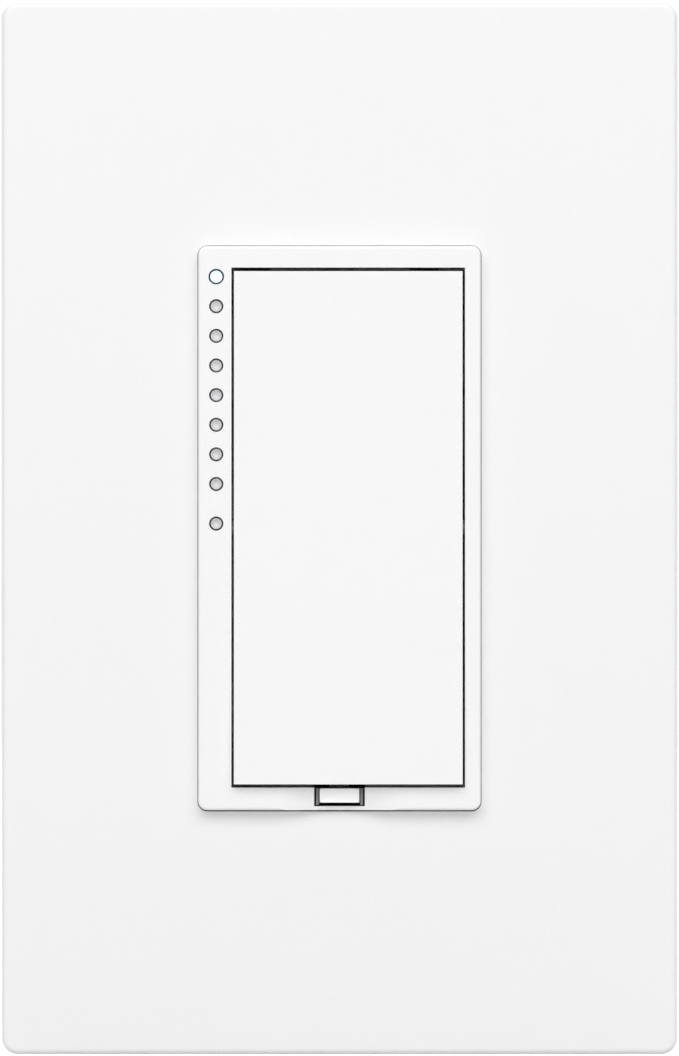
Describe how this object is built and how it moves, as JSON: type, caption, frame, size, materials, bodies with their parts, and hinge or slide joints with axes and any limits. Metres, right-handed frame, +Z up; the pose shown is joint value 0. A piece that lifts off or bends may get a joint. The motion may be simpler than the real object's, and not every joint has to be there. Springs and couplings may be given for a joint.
{
  "type": "smart dimmer switch",
  "caption": "Wall dimmer with a screwless cover plate, a tilting paddle, a column of indicator lenses and a push button that also pulls out as an air gap.",
  "frame": {"origin": "midway between the two box screw holes, on the wall's surface", "axes": "+X right, +Z up, the front faces -Y"},
  "size_m": [0.0794, 0.0382, 0.1238],
  "materials": {
    "plate_white": "gloss",
    "frame_white": "gloss",
    "lens": "clear lens",
    "button": "gloss",
    "slide_grey": "satin",
    "adapter_grey": "satin",
    "nylon": "satin",
    "black_plastic": "fine texture",
    "film_black": "matt film",
    "strap": "brushed",
    "screw_steel": "zinc plated",
    "spring_steel": "drawn wire",
    "brass": "plain",
    "green_steel": "green plated",
    "board": "solder mask",
    "chip_black": "matt",
    "chip_tan": "matt",
    "lamp_yellow": "clear",
    "can": "tin plated",
    "stem_red": "matt",
    "thermal": "soft",
    "ferrite": "matt",
    "copper_wire": "enamelled",
    "tape_yellow": "tape",
    "case_yellow": "matt",
    "sleeve_blue": "shrink sleeve",
    "disc_blue": "dipped",
    "fuse_body": "matt"
  },
  "bodies": {
    "chassis": {"wall_plate": "plate_white", "plate_adapter": "adapter_grey", "adapter_screws": "screw_steel", "bezel": "frame_white", "light_pipe": "lens", "air_gap_contacts": "brass", "yoke": "strap", "strap_film": "film_black", "carrier": "black_plastic", "spring_upper": "spring_steel", "spring_lower": "spring_steel", "logic_board": "board", "tact_upper": "chip_black", "tact_lower": "chip_black", "tact_set": "chip_black", "indicator_leds": "lamp_yellow", "microcontroller": "chip_black", "radio_module": "can", "crystal": "can", "chip_resistors": "chip_black", "chip_capacitors": "chip_tan", "board_connector": "chip_black", "board_spacers": "nylon", "power_board": "board", "triac": "chip_black", "thermal_pad": "thermal", "triac_screw": "screw_steel", "choke_core": "ferrite", "choke_winding": "copper_wire", "film_capacitor": "case_yellow", "electrolytic_capacitor": "sleeve_blue", "varistor": "disc_blue", "fuse": "fuse_body", "transformer_core": "ferrite", "transformer_winding": "tape_yellow", "bridge_rectifier": "chip_black", "optocoupler": "nylon", "terminal_line": "brass", "terminal_load": "brass", "terminal_neutral": "brass", "terminal_screws": "brass", "ground_clamp": "brass", "ground_screw": "green_steel", "rear_housing": "black_plastic", "housing_screws": "screw_steel"},
    "paddle": {"paddle": "frame_white"},
    "upper_plunger": {"plunger_upper": "nylon"},
    "lower_plunger": {"plunger_lower": "nylon"},
    "slide": {"air_gap_slide": "slide_grey", "air_gap_bridge": "brass"},
    "button": {"set_button": "button"},
    "upper_stem": {"stem_upper": "stem_red"},
    "lower_stem": {"stem_lower": "stem_red"},
    "set_stem": {"stem_set": "stem_red"}
  },
  "joints": [
    {"name": "paddle_tilt", "type": "hinge", "parent": "chassis", "child": "paddle", "pos_m": [0.00103, -0.0042, 0.00005], "axis": [1, 0, 0], "range_deg": [-2.2, 2.2], "stiffness_Nm_per_rad": 0.6},
    {"name": "upper_plunger_slide", "type": "slide", "parent": "chassis", "child": "upper_plunger", "axis": [0, 1, 0], "range_m": [-0.00078, 0.00078], "deforming": ["spring_upper"]},
    {"name": "lower_plunger_slide", "type": "slide", "parent": "chassis", "child": "lower_plunger", "axis": [0, 1, 0], "range_m": [-0.00078, 0.00078], "deforming": ["spring_lower"]},
    {"name": "slide_pull", "type": "slide", "parent": "chassis", "child": "slide", "axis": [0, -1, 0], "range_m": [0, 0.0032]},
    {"name": "button_press", "type": "slide", "parent": "slide", "child": "button", "axis": [0, 1, 0], "range_m": [0, 0.0005], "stiffness_N_per_m": 400},
    {"name": "upper_stem_press", "type": "slide", "parent": "chassis", "child": "upper_stem", "axis": [0, 1, 0], "range_m": [0, 0.00025], "stiffness_N_per_m": 400},
    {"name": "lower_stem_press", "type": "slide", "parent": "chassis", "child": "lower_stem", "axis": [0, 1, 0], "range_m": [0, 0.00025], "stiffness_N_per_m": 400},
    {"name": "set_stem_press", "type": "slide", "parent": "chassis", "child": "set_stem", "axis": [0, 1, 0], "range_m": [0, 0.00025], "stiffness_N_per_m": 400}
  ],
  "couplings": [
    {"joint": "upper_plunger_slide", "follows": "paddle_tilt", "m_per_rad": -0.02},
    {"joint": "lower_plunger_slide", "follows": "paddle_tilt", "m_per_rad": 0.02}
  ]
}
